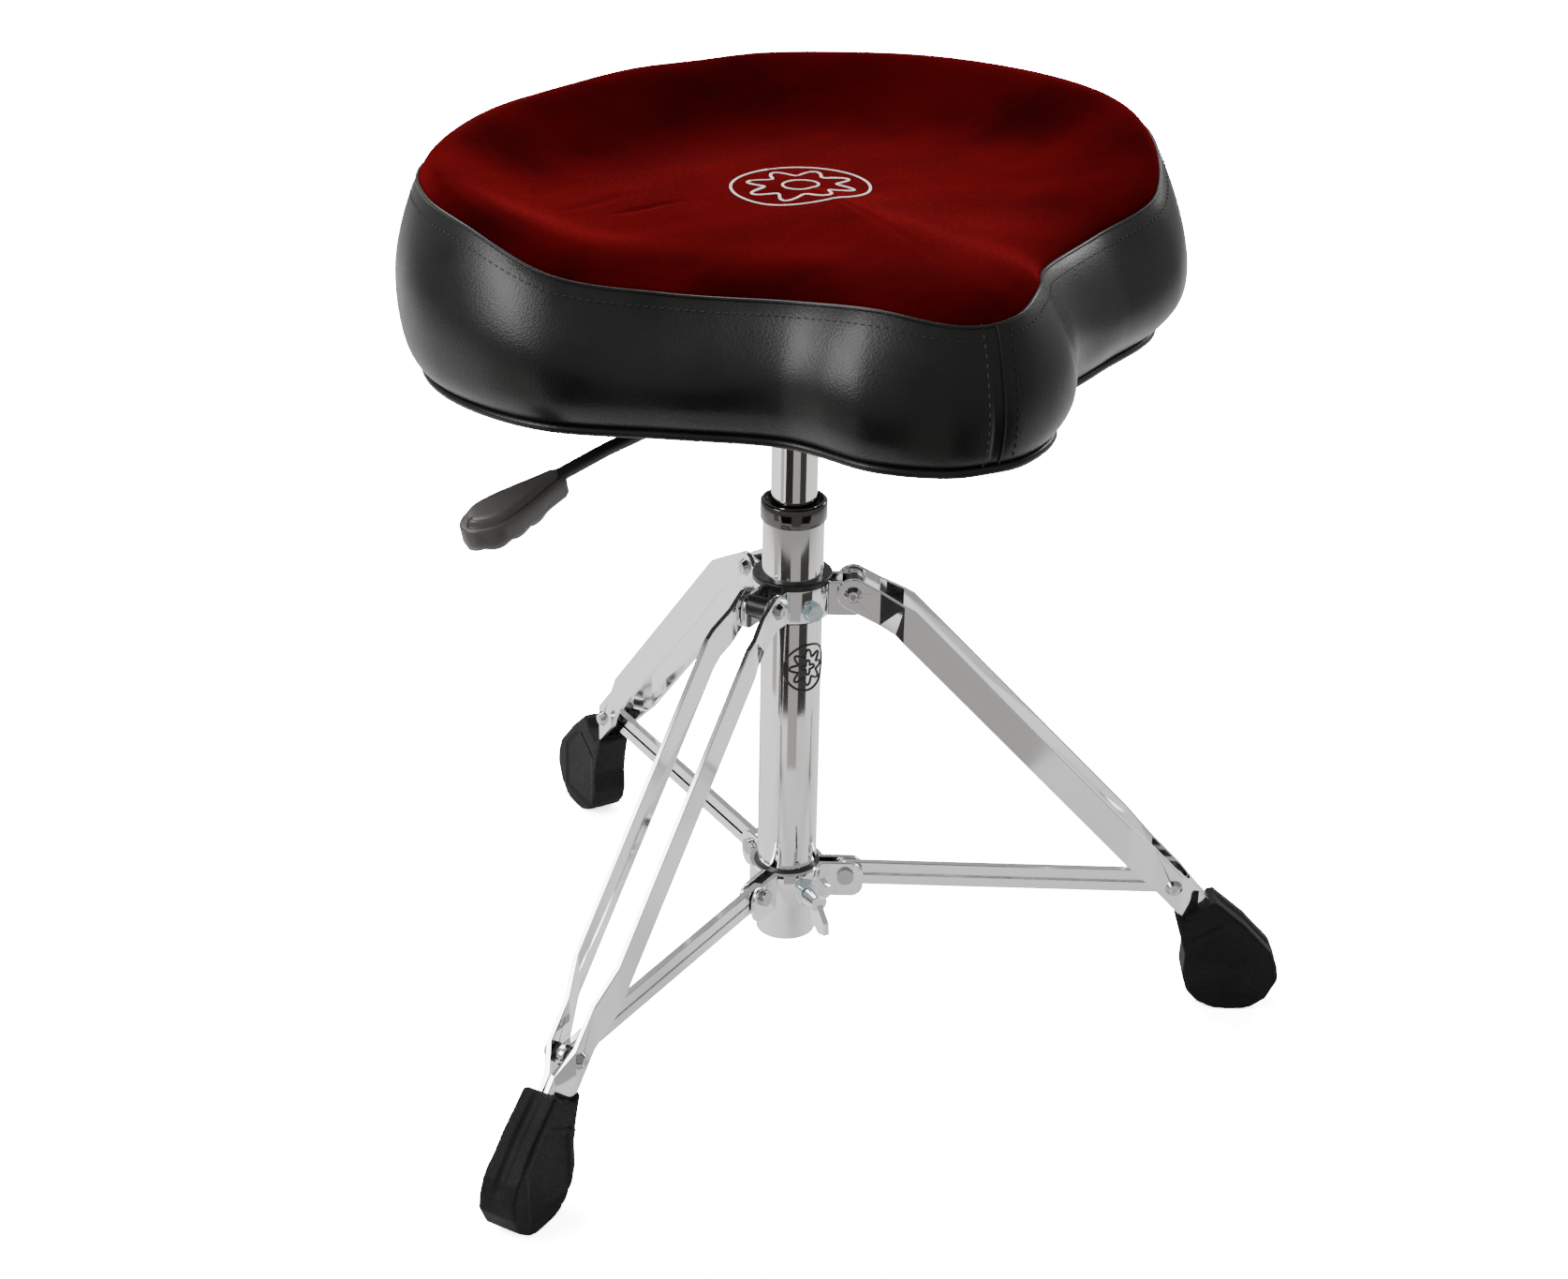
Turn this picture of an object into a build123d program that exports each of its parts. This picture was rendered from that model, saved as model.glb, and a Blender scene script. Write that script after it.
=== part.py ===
from build123d import *
from math import cos, sin, tan, radians, degrees, atan2, hypot
import os

# Drum throne: a padded seat on a gas-lift column that stands on a folding three-legged base.
# Millimetres. The origin is on the floor below the column, +Z is up and the seat's nose points to -Y.

# ---- column ----
TUBE_R = 19.05
TUBE_WALL = 1.6
TUBE_BOTTOM = 50.0
TUBE_TOP = 344.0
COLLAR_R = 20.6
COLLAR_TOP = 352.0
CYLINDER_R = 14.29
CYLINDER_BORE_R = 12.4
CYLINDER_BOTTOM = 150.0
CYLINDER_TOP = 430.0
RUNNING_GAP = 0.06
LOOSE_FIT = 0.3
BUSH_LENGTH = 85.0
ROD_R = 5.0
PIN_R = 2.5
PISTON_BOTTOM = 256.0
PISTON_HEIGHT = 14.0
EMBLEM_Z = 245.0
EMBLEM_ANGLE = -86.0
EMBLEM_R = 16.0

# ---- legs: three around the column; each pivot is a radius and a height in the leg's own plane ----
LEG_ANGLES = {"right": -30.0, "rear": 90.0, "left": 210.0}
SEGMENT_ANGLES = {"front": -90.0, "right": 30.0, "left": 150.0}
TOP_PIVOT = (37.5, 293.5)
KNEE = (250.0, 89.5)
LOWER_PIVOT = (38.0, 91.0)
BEND = (70.2, 275.7)
STRIP_END = (276.0, 62.0)
STRIP_WIDTH = 20.0
STRIP_THICKNESS = 3.2
TOP_SPREAD = 11.4
MIDDLE_SPREAD = 14.5
KNEE_SPREAD = 8.9
END_SPREAD = 2.2
RIVET_R = 3.0
RIVET_HEAD_R = 5.6
RIVET_HEAD_HEIGHT = 3.0
PIVOT_GAP = 0.05
FOOT_THICKNESS = 27.0
FOOT_TOP_THICKNESS = 23.0

# ---- hubs: three pressed segments whose ears reach out beside the legs and stays ----
LINER_R = 21.0
FLANGE_HEIGHT = 4.0
SEGMENT_R = 24.0
EAR_THICKNESS = 3.0
UPPER_HUB = (278.0, 300.0)
UPPER_EAR_GAP = 6.5
UPPER_EAR_REACH = 44.0
LOWER_HUB = (76.0, 100.0)
LOWER_EAR_GAP = 3.2
LOWER_EAR_REACH = 48.0
STAY_THICKNESS = 5.0
STAY_HEIGHT = 16.0
WING_Z = 88.0
WING_SPAN = 40.0

# ---- seat ----
SEAT_BASE = 454.0
BOARD_BOTTOM = 455.5
BOARD_THICKNESS = 12.0
BAND_TOP = 532.0
SEAT_TOP = 588.0
NOSE = 230.0
HALF_WIDTH = 223.0
REAR = 184.0
SEAT_TURN = -4.0
SEAT_SHIFT = 3.0
PLATE_SIZE = 130.0
PLATE_THICKNESS = 3.0
SOCKET_BOTTOM = 394.0
SOCKET_R = 21.0
BOLT_SPACING = 100.0
BOLT_R = 3.0
BOLT_HEAD_R = 5.8

# ---- lever ----
LEVER_ANGLE = -165.5
LEVER_PIVOT = (40.0, 436.0)
LEVER_KNEE = (150.0, 423.0)
LEVER_GRIP = (181.0, 415.0)
LEVER_TIP = (251.0, 405.0)
LEVER_R = 4.0

os.makedirs("parts", exist_ok=True)


def save(shape, name):
    """Labels a finished piece and writes it under its node's name."""
    shape.label = name
    export_step(shape, f"parts/{name}.step")


def side_plane(angle, shift=0.0):
    """The upright plane through the column at this angle: local X is outward, local Y is up, and the
    shift moves it sideways, clockwise seen from above."""
    a = radians(angle)
    normal = Vector(sin(a), -cos(a), 0)
    return Plane(origin=normal * shift, x_dir=(cos(a), sin(a), 0), z_dir=normal)


def plan_plane(angle, height):
    """A level plane whose local X points outward at this angle."""
    a = radians(angle)
    return Plane(origin=(0, 0, height), x_dir=(cos(a), sin(a), 0), z_dir=(0, 0, 1))


def radial_plane(angle, radius, height):
    """An upright plane that faces outward at this angle, with local Y up."""
    a = radians(angle)
    outward = Vector(cos(a), sin(a), 0)
    return Plane(origin=outward * radius + Vector(0, 0, height), x_dir=(-sin(a), cos(a), 0), z_dir=outward)


def ring(inner, outer, bottom, top):
    """A plain tube around the column's axis."""
    with BuildPart() as piece:
        with BuildSketch(Plane.XY.offset(bottom)):
            Circle(outer)
            if inner:
                Circle(inner, mode=Mode.SUBTRACT)
        extrude(amount=top - bottom)
    return piece.part


# ======== column ========
save(ring(TUBE_R - TUBE_WALL, TUBE_R, TUBE_BOTTOM, TUBE_TOP), "column_tube")

with BuildPart() as tube_collar:
    with BuildSketch(Plane.XZ):
        with BuildLine():
            Polyline(
                (TUBE_R + 0.05, TUBE_TOP - 6),
                (COLLAR_R, TUBE_TOP - 4),
                (COLLAR_R, COLLAR_TOP - 1),
                (COLLAR_R - 0.8, COLLAR_TOP),
                (TUBE_R - 1, COLLAR_TOP),
                (TUBE_R - TUBE_WALL, COLLAR_TOP - 3),
                (TUBE_R - TUBE_WALL, TUBE_TOP),
                (TUBE_R + 0.05, TUBE_TOP),
                close=True,
            )
        make_face()
    revolve(axis=Axis.Z)
save(tube_collar.part, "tube_collar")

BUSH_TOP = COLLAR_TOP - 3
save(ring(CYLINDER_R + RUNNING_GAP, TUBE_R - TUBE_WALL, BUSH_TOP - BUSH_LENGTH, BUSH_TOP), "guide_bush")

save(ring(ROD_R, TUBE_R - TUBE_WALL, TUBE_BOTTOM + 3, TUBE_BOTTOM + 10), "base_plug")
save(ring(ROD_R + 0.4, 12.5, TUBE_BOTTOM + 10, TUBE_BOTTOM + 27), "rubber_buffer")
save(ring(0, ROD_R, TUBE_BOTTOM + 0.5, PISTON_BOTTOM + PISTON_HEIGHT + 3), "piston_rod")
save(ring(ROD_R, CYLINDER_BORE_R - LOOSE_FIT, PISTON_BOTTOM, PISTON_BOTTOM + PISTON_HEIGHT), "piston")

with BuildPart() as column_emblem:
    with BuildSketch(Plane.XY.offset(EMBLEM_Z - EMBLEM_R)):
        Circle(TUBE_R + 0.7)
        Circle(TUBE_R, mode=Mode.SUBTRACT)
    extrude(amount=2 * EMBLEM_R)
    with BuildSketch(radial_plane(EMBLEM_ANGLE, 0, EMBLEM_Z)):
        Circle(EMBLEM_R)
    extrude(amount=TUBE_R + 5, mode=Mode.INTERSECT)
save(column_emblem.part, "column_emblem")


# ======== hubs ========
def hub_segment(angle, span, ear_gap, reach, pivot):
    """A third of a hub: a curved wall around the column and an ear beside each neighbouring leg."""
    bottom, top = span
    corner = ear_gap / sin(radians(60))
    half_turn = radians(60)
    with BuildPart() as segment:
        with BuildSketch(plan_plane(angle, bottom)):
            Circle(SEGMENT_R)
            for side in (-1, 1):
                middle = (LINER_R + reach) / 2
                sideways = ear_gap + EAR_THICKNESS / 2
                x = middle * cos(half_turn) + sideways * sin(half_turn)
                y = middle * sin(half_turn) - sideways * cos(half_turn)
                with Locations((x, side * y)):
                    Rectangle(reach - LINER_R + 3, EAR_THICKNESS, rotation=side * 60)
            with BuildLine():
                spread = 60 * tan(half_turn)
                Polyline((corner, 0), (corner + 60, spread), (corner + 60, -spread), close=True)
            make_face(mode=Mode.INTERSECT)
            Circle(LINER_R, mode=Mode.SUBTRACT)
        extrude(amount=top - bottom)
        for side in (-1, 1):
            with BuildSketch(side_plane(angle + side * 60, -60)):
                with Locations(pivot):
                    Circle(RIVET_R + PIVOT_GAP)
            extrude(amount=120, mode=Mode.SUBTRACT)
        ears = segment.edges().group_by(lambda e: round(hypot(e.center().X, e.center().Y)))[-1]
        fillet(ears.filter_by(lambda e: abs(e.center().Z - bottom) < 1 or abs(e.center().Z - top) < 1), 8.0)
    return segment.part


def hub_liner(bottom, top, flange_top):
    """A plastic sleeve between a hub and the tube, with a thicker ring above the hub."""
    with BuildPart() as liner:
        with BuildSketch(Plane.XY.offset(bottom)):
            Circle(LINER_R)
        extrude(amount=top - bottom)
        if flange_top > top:
            with BuildSketch(Plane.XY.offset(top)):
                Circle(SEGMENT_R + 1)
            extrude(amount=flange_top - top)
            fillet(liner.edges().group_by(Axis.Z)[-1], 1.5)
        with BuildSketch(Plane.XY.offset(bottom)):
            Circle(TUBE_R + RUNNING_GAP)
        extrude(amount=flange_top - bottom, mode=Mode.SUBTRACT)
    return liner.part


save(hub_liner(UPPER_HUB[0] - 2, UPPER_HUB[1], UPPER_HUB[1] + FLANGE_HEIGHT), "upper_liner")
save(hub_liner(LOWER_HUB[0], LOWER_HUB[1], LOWER_HUB[1]), "lower_liner")
for place, angle in SEGMENT_ANGLES.items():
    save(hub_segment(angle, UPPER_HUB, UPPER_EAR_GAP, UPPER_EAR_REACH, TOP_PIVOT), f"upper_hub_{place}")
    save(hub_segment(angle, LOWER_HUB, LOWER_EAR_GAP, LOWER_EAR_REACH, LOWER_PIVOT), f"lower_hub_{place}")

with BuildPart() as upper_hub_screws:
    for angle in SEGMENT_ANGLES.values():
        with BuildSketch(radial_plane(angle, SEGMENT_R, UPPER_HUB[0] + 8)):
            Circle(6.5)
        extrude(amount=1.2)
        with BuildSketch(radial_plane(angle, SEGMENT_R + 1.2, UPPER_HUB[0] + 8)):
            RegularPolygon(5.8, 6)
        extrude(amount=4.5)
save(upper_hub_screws.part, "upper_hub_screws")

with BuildPart() as upper_spacers:
    for angle in LEG_ANGLES.values():
        with BuildSketch(side_plane(angle, -UPPER_EAR_GAP)):
            with Locations(TOP_PIVOT):
                Circle(6.5)
                Circle(RIVET_R, mode=Mode.SUBTRACT)
        extrude(amount=2 * UPPER_EAR_GAP)
save(upper_spacers.part, "upper_spacers")

with BuildPart() as lower_hub_pins:
    reach = LOWER_EAR_GAP + EAR_THICKNESS
    for angle in LEG_ANGLES.values():
        with BuildSketch(side_plane(angle, -reach - 2.5)):
            with Locations(LOWER_PIVOT):
                Circle(RIVET_R)
        extrude(amount=2 * reach + 5)
        for start in (-reach - 2.5, reach):
            with BuildSketch(side_plane(angle, start)):
                with Locations(LOWER_PIVOT):
                    Circle(5.4)
            extrude(amount=2.5)
save(lower_hub_pins.part, "lower_hub_pins")

with BuildPart() as wing_boss:
    with BuildSketch(radial_plane(-90, SEGMENT_R - 0.6, WING_Z)):
        RectangleRounded(13, 13, 2)
    extrude(amount=8)
    with BuildSketch(radial_plane(-90, SEGMENT_R - 1, WING_Z)):
        Circle(3.0 + PIVOT_GAP)
    extrude(amount=12, mode=Mode.SUBTRACT)
    with BuildSketch(Plane.XY.offset(LOWER_HUB[0])):
        Circle(SEGMENT_R)
    extrude(amount=LOWER_HUB[1] - LOWER_HUB[0], mode=Mode.SUBTRACT)
save(wing_boss.part, "wing_boss")

with BuildPart() as wing_screw:
    with BuildSketch(radial_plane(-90, SEGMENT_R + LOOSE_FIT, WING_Z)):
        Circle(3.0)
    extrude(amount=12)
    with BuildSketch(radial_plane(-90, SEGMENT_R + 8, WING_Z)):
        Circle(7.0)
    extrude(amount=11, taper=8)
    with BuildSketch(side_plane(-90, -2.0)):
        for side in (-1, 1):
            with BuildLine():
                Polyline(
                    (SEGMENT_R + 10, WING_Z),
                    (SEGMENT_R + 12, WING_Z + side * WING_SPAN / 2 * 0.7),
                    (SEGMENT_R + 21, WING_Z + side * WING_SPAN / 2),
                    (SEGMENT_R + 29, WING_Z + side * WING_SPAN / 2 * 0.9),
                    (SEGMENT_R + 28, WING_Z + side * WING_SPAN / 2 * 0.5),
                    (SEGMENT_R + 18, WING_Z),
                    close=True,
                )
            make_face()
    extrude(amount=4)
save(wing_screw.part, "wing_screw")


# ======== legs ========
def strip_plan(side):
    """The strip's path seen from above: its distance from the leg's middle plane along its length."""
    return [
        (TOP_PIVOT[0] - 14, side * TOP_SPREAD),
        (TOP_PIVOT[0] + 17, side * TOP_SPREAD),
        (TOP_PIVOT[0] + 32, side * MIDDLE_SPREAD),
        (KNEE[0] - 32, side * MIDDLE_SPREAD),
        (KNEE[0] - 14, side * KNEE_SPREAD),
        (KNEE[0] + 5, side * KNEE_SPREAD),
        (KNEE[0] + 17, side * END_SPREAD),
        (STRIP_END[0] + 20, side * END_SPREAD),
    ]


def leg_strip(angle, side):
    """One of a leg's two flat strips, bent below the hub and pinched together at the foot."""
    with BuildPart() as strip:
        with BuildSketch(side_plane(angle, -30)):
            with BuildLine():
                Polyline(TOP_PIVOT, BEND, STRIP_END)
            trace(line_width=STRIP_WIDTH)
            with Locations(TOP_PIVOT, BEND):
                Circle(STRIP_WIDTH / 2)
            with Locations(TOP_PIVOT, KNEE):
                Circle(RIVET_R + PIVOT_GAP, mode=Mode.SUBTRACT)
        extrude(amount=60)
        with BuildSketch(plan_plane(angle, 0)):
            with BuildLine():
                Polyline(*strip_plan(side))
            trace(line_width=STRIP_THICKNESS)
        extrude(amount=400, mode=Mode.INTERSECT)
    return strip.part


def foot(angle, strips):
    """A moulded rubber foot, crowned underneath, with a pocket that holds the ends of both strips."""
    with BuildPart() as rubber:
        with BuildSketch(side_plane(angle, -FOOT_THICKNESS / 2)):
            with BuildLine():
                Polyline((260, 24), (260.5, 40), (252.5, 70.5), (278, 80), (318, 42), (323, 22))
                ThreePointArc((323, 22), (315, 7.5), (300, 0))
                Line((300, 0), (284, 0))
                ThreePointArc((284, 0), (267, 8.5), (260, 24))
            make_face()
        extrude(amount=FOOT_THICKNESS)
        with BuildSketch(radial_plane(angle, 0, 0)):
            with BuildLine():
                Polyline(
                    (-FOOT_THICKNESS / 2, 0),
                    (FOOT_THICKNESS / 2, 0),
                    (FOOT_TOP_THICKNESS / 2, 90),
                    (-FOOT_TOP_THICKNESS / 2, 90),
                    close=True,
                )
            make_face()
        extrude(amount=400, mode=Mode.INTERSECT)
        for strip in strips:
            add(strip, mode=Mode.SUBTRACT)
    return rubber.part


def dome_rivet(angle, pivot, reach, inner):
    """Dome-headed rivet ends outside both strips; the shank runs from the reach in to the inner face."""
    with BuildPart() as rivet:
        for side in (-1, 1):
            with BuildSketch(side_plane(angle, side * inner)):
                with Locations(pivot):
                    Circle(RIVET_R)
            extrude(amount=side * (reach - inner + 0.5))
            with BuildSketch(side_plane(angle, side * reach)):
                with Locations(pivot):
                    Circle(RIVET_HEAD_R)
            extrude(amount=side * RIVET_HEAD_HEIGHT, taper=32)
    return rivet.part


for place, angle in LEG_ANGLES.items():
    strips = [leg_strip(angle, side) for side in (1, -1)]
    for strip, side_name in zip(strips, ("a", "b")):
        save(strip, f"leg_{place}_strip_{side_name}")
    save(foot(angle, strips), f"foot_{place}")
    save(dome_rivet(angle, KNEE, KNEE_SPREAD + STRIP_THICKNESS / 2, 0), f"knee_rivet_{place}")
    top_inner = TOP_SPREAD - STRIP_THICKNESS / 2
    save(dome_rivet(angle, TOP_PIVOT, TOP_SPREAD + STRIP_THICKNESS / 2, top_inner), f"top_rivets_{place}")

    with BuildPart() as stay:
        rise = KNEE[1] - LOWER_PIVOT[1]
        run = KNEE[0] - LOWER_PIVOT[0]
        with BuildSketch(side_plane(angle, -STAY_THICKNESS / 2)):
            with Locations(((KNEE[0] + LOWER_PIVOT[0]) / 2, (KNEE[1] + LOWER_PIVOT[1]) / 2)):
                SlotCenterToCenter(hypot(run, rise), STAY_HEIGHT, rotation=degrees(atan2(rise, run)))
            with Locations(LOWER_PIVOT, KNEE):
                Circle(RIVET_R + PIVOT_GAP, mode=Mode.SUBTRACT)
        extrude(amount=STAY_THICKNESS)
    save(stay.part, f"stay_{place}")

    with BuildPart() as knee_washers:
        washer = KNEE_SPREAD - STRIP_THICKNESS / 2 - STAY_THICKNESS / 2 - 0.8
        for start in (STAY_THICKNESS / 2, -STAY_THICKNESS / 2 - washer):
            with BuildSketch(side_plane(angle, start)):
                with Locations(KNEE):
                    Circle(6.0)
                    Circle(RIVET_R + PIVOT_GAP, mode=Mode.SUBTRACT)
            extrude(amount=washer)
    save(knee_washers.part, f"knee_washers_{place}")


# ======== gas lift ========
save(ring(CYLINDER_BORE_R, CYLINDER_R, CYLINDER_BOTTOM, CYLINDER_TOP), "gas_cylinder")
save(ring(ROD_R + RUNNING_GAP, CYLINDER_BORE_R, CYLINDER_BOTTOM + 2, CYLINDER_BOTTOM + 18), "cylinder_gland")
save(ring(PIN_R + RUNNING_GAP, CYLINDER_BORE_R, CYLINDER_TOP - 18, CYLINDER_TOP), "cylinder_cap")
save(ring(0, PIN_R, CYLINDER_TOP - 12, CYLINDER_TOP + 3), "release_pin")
save(ring(CYLINDER_R, 19.0, SOCKET_BOTTOM - 3, SOCKET_BOTTOM - LOOSE_FIT), "thrust_ring")

# ======== seat mechanism ========
PLATE_BOTTOM = BOARD_BOTTOM - 1.0 - PLATE_THICKNESS
with BuildPart() as seat_socket:
    with BuildSketch(Plane.XY.offset(SOCKET_BOTTOM)):
        Circle(SOCKET_R)
    extrude(amount=PLATE_BOTTOM - SOCKET_BOTTOM)
    with BuildSketch(Plane.XY.offset(SOCKET_BOTTOM)):
        Circle(CYLINDER_R + RUNNING_GAP)
    extrude(amount=CYLINDER_TOP - SOCKET_BOTTOM + 2, mode=Mode.SUBTRACT)
    with BuildSketch(Plane.XY.offset(CYLINDER_TOP - 1)):
        Circle(8.0)
    extrude(amount=PLATE_BOTTOM - CYLINDER_TOP + 2, mode=Mode.SUBTRACT)
    with BuildSketch(plan_plane(LEVER_ANGLE, CYLINDER_TOP - 1)):
        with Locations((SOCKET_R / 2 + 2, 0)):
            Rectangle(SOCKET_R + 10, 12)
    extrude(amount=PLATE_BOTTOM - CYLINDER_TOP + 1, mode=Mode.SUBTRACT)
save(seat_socket.part, "seat_socket")

with BuildPart() as seat_plate:
    with BuildSketch(Plane.XY.offset(PLATE_BOTTOM)):
        RectangleRounded(PLATE_SIZE, PLATE_SIZE, 12)
        with GridLocations(BOLT_SPACING, BOLT_SPACING, 2, 2):
            Circle(BOLT_R + LOOSE_FIT, mode=Mode.SUBTRACT)
    extrude(amount=PLATE_THICKNESS)
save(seat_plate.part, "seat_plate")

with BuildPart() as lever_bracket:
    for start in (-9.0, 6.5):
        with BuildSketch(side_plane(LEVER_ANGLE, start)):
            with Locations((LEVER_PIVOT[0], (LEVER_PIVOT[1] + PLATE_BOTTOM) / 2 - 4)):
                Rectangle(22, PLATE_BOTTOM - LEVER_PIVOT[1] + 8)
            with Locations(LEVER_PIVOT):
                Circle(RIVET_R, mode=Mode.SUBTRACT)
        extrude(amount=2.5)
save(lever_bracket.part, "lever_bracket")

with BuildPart() as lever_pin:
    with BuildSketch(side_plane(LEVER_ANGLE, -10.5)):
        with Locations(LEVER_PIVOT):
            Circle(RIVET_R)
    extrude(amount=21)
save(lever_pin.part, "lever_pin")

with BuildPart() as plate_bolts:
    with BuildSketch(Plane.XY.offset(PLATE_BOTTOM - 5)):
        with GridLocations(BOLT_SPACING, BOLT_SPACING, 2, 2):
            RegularPolygon(BOLT_HEAD_R, 6)
    extrude(amount=5)
    with BuildSketch(Plane.XY.offset(PLATE_BOTTOM)):
        with GridLocations(BOLT_SPACING, BOLT_SPACING, 2, 2):
            Circle(BOLT_R)
    extrude(amount=PLATE_THICKNESS + 1 + BOARD_THICKNESS)
save(plate_bolts.part, "plate_bolts")


# ======== seat ========
def seat_outline(grow):
    """The seat's outline seen from above, grown or shrunk about its middle: a narrow nose, thigh
    cut-outs on both sides and a broad rounded back. The cushion sits a little turned on its plate."""
    wider = 1 + grow / HALF_WIDTH
    half_length = (NOSE + REAR) / 2
    longer = 1 + grow / half_length
    middle = REAR - half_length
    right = [(25, -NOSE + 4), (55, -199), (82, -153), (134, -117), (193, -78), (HALF_WIDTH - 2, -25)]
    right += [(HALF_WIDTH, 30), (197, 97), (139, 148), (55, REAR - 5)]
    around = [(0, -NOSE)] + right + [(0, REAR)] + [(-x, y) for x, y in reversed(right)]
    scaled = [(x * wider, middle + (y - middle) * longer) for x, y in around]
    c = cos(radians(SEAT_TURN))
    s = sin(radians(SEAT_TURN))
    with BuildSketch() as outline:
        with BuildLine():
            Spline(*[(x * c - y * s + SEAT_SHIFT, x * s + y * c) for x, y in scaled], periodic=True)
        make_face()
    return outline.sketch


def seat_slab(bottom, top, outer, inner=None):
    """A level slab of the seat's outline, open in the middle where an inner outline is given."""
    with BuildPart() as slab:
        with BuildSketch(Plane.XY.offset(bottom)):
            add(seat_outline(outer))
            if inner is not None:
                add(seat_outline(inner), mode=Mode.SUBTRACT)
        extrude(amount=top - bottom)
        if bottom < BOARD_BOTTOM + BOARD_THICKNESS and inner is None:
            with BuildSketch(Plane.XY.offset(bottom)):
                with GridLocations(BOLT_SPACING, BOLT_SPACING, 2, 2):
                    Circle(3.2)
            extrude(amount=BOARD_THICKNESS + 2, mode=Mode.SUBTRACT)
    return slab.part


BOARD_TOP = BOARD_BOTTOM + BOARD_THICKNESS
save(seat_slab(BOARD_BOTTOM - 1, BOARD_BOTTOM, -16), "dust_cover")
save(seat_slab(BOARD_BOTTOM, BOARD_TOP, -11), "seat_board")
save(seat_slab(BOARD_TOP, BAND_TOP, -11), "foam_core")
save(seat_slab(SEAT_BASE + 3, BAND_TOP, 6, -9), "vinyl_band")
save(seat_slab(SEAT_BASE - 2, SEAT_BASE + 3, 1, -7), "bottom_welt")

with BuildPart() as velour_top:
    add(seat_slab(BAND_TOP + 0.2, SEAT_TOP, 6))
    with BuildSketch(Plane.YZ.offset(-300)):
        with BuildLine():
            Spline((-260, 540), (-190, 548), (-60, 546), (60, 553), (150, 580), (200, 578), (260, 540))
            Polyline((260, 540), (260, 660), (-260, 660), (-260, 540))
        make_face()
    extrude(amount=600, mode=Mode.SUBTRACT)
save(velour_top.part, "velour_top")


# ======== lever ========
with BuildPart() as lever_rod:
    with BuildLine(side_plane(LEVER_ANGLE)) as path:
        FilletPolyline((3, 438), LEVER_PIVOT, LEVER_KNEE, (LEVER_TIP[0] - 25, LEVER_TIP[1] + 4), radius=25)
    with BuildSketch(Plane(origin=path.line @ 0, z_dir=path.line % 0)):
        Circle(LEVER_R)
    sweep()
    with BuildSketch(side_plane(LEVER_ANGLE, -6.2)):
        with Locations(LEVER_PIVOT):
            Circle(6.5)
    extrude(amount=12.4)
    with BuildSketch(side_plane(LEVER_ANGLE, -10)):
        with Locations(LEVER_PIVOT):
            Circle(RIVET_R + PIVOT_GAP)
    extrude(amount=20, mode=Mode.SUBTRACT)
save(lever_rod.part, "lever_rod")

with BuildPart() as lever_grip:
    with BuildSketch(side_plane(LEVER_ANGLE, -17)):
        with BuildLine():
            Spline(
                (LEVER_GRIP[0] - 6, LEVER_GRIP[1] + 7),
                (LEVER_GRIP[0] + 30, LEVER_GRIP[1] + 7),
                (LEVER_TIP[0], LEVER_TIP[1]),
                (LEVER_GRIP[0] + 40, LEVER_GRIP[1] - 16),
                (LEVER_GRIP[0] - 6, LEVER_GRIP[1] - 6),
            )
            Line((LEVER_GRIP[0] - 6, LEVER_GRIP[1] - 6), (LEVER_GRIP[0] - 6, LEVER_GRIP[1] + 7))
        make_face()
    extrude(amount=34)
    with BuildSketch(plan_plane(LEVER_ANGLE, 380)):
        with BuildLine():
            Spline(
                (LEVER_GRIP[0] - 6, -7),
                (LEVER_GRIP[0] + 35, -15),
                (LEVER_TIP[0] - 8, -17),
                (LEVER_TIP[0], 0),
                (LEVER_TIP[0] - 8, 17),
                (LEVER_GRIP[0] + 35, 15),
                (LEVER_GRIP[0] - 6, 7),
            )
            Line((LEVER_GRIP[0] - 6, 7), (LEVER_GRIP[0] - 6, -7))
        make_face()
    extrude(amount=60, mode=Mode.INTERSECT)
    add(lever_rod.part, mode=Mode.SUBTRACT)
save(lever_grip.part, "lever_grip")
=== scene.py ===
import math

import bmesh
import bpy
import numpy as np
from mathutils import Matrix, Vector, noise
from mathutils.bvhtree import BVHTree


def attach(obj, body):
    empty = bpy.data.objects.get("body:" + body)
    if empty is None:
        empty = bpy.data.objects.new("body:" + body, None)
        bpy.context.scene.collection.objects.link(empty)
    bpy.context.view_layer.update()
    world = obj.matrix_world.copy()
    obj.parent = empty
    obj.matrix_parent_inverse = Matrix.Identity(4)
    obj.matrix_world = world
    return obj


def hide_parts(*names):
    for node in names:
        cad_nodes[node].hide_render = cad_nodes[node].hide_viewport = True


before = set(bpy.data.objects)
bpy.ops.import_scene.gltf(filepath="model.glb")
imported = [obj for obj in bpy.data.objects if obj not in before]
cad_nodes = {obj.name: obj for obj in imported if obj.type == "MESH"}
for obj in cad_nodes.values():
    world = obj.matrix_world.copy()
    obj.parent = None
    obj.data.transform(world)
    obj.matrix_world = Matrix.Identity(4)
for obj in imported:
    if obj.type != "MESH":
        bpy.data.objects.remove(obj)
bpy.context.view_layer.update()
collection = bpy.context.scene.collection

# ======== Camera ========
# It stands in front of the nose and to its left, and looks down at the throne from a little above the
# seat, rolled by about a degree.
camera_data = bpy.data.cameras.new("camera")
camera_data.lens = 65.88
camera_data.sensor_width = 36.0
camera = bpy.data.objects.new("camera", camera_data)
collection.objects.link(camera)
CAMERA_PLACE = (-0.8039, -1.3980, 1.0287)
CAMERA_PITCH = math.radians(25.593)
CAMERA_TURN = math.radians(-29.74)
CAMERA_ROLL = math.radians(1.118)
camera.matrix_world = (
    Matrix.Translation(CAMERA_PLACE)
    @ Matrix.Rotation(CAMERA_TURN, 4, "Z")
    @ Matrix.Rotation(math.pi / 2 - CAMERA_PITCH, 4, "X")
    @ Matrix.Rotation(CAMERA_ROLL, 4, "Z")
)
bpy.context.scene.camera = camera


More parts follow.
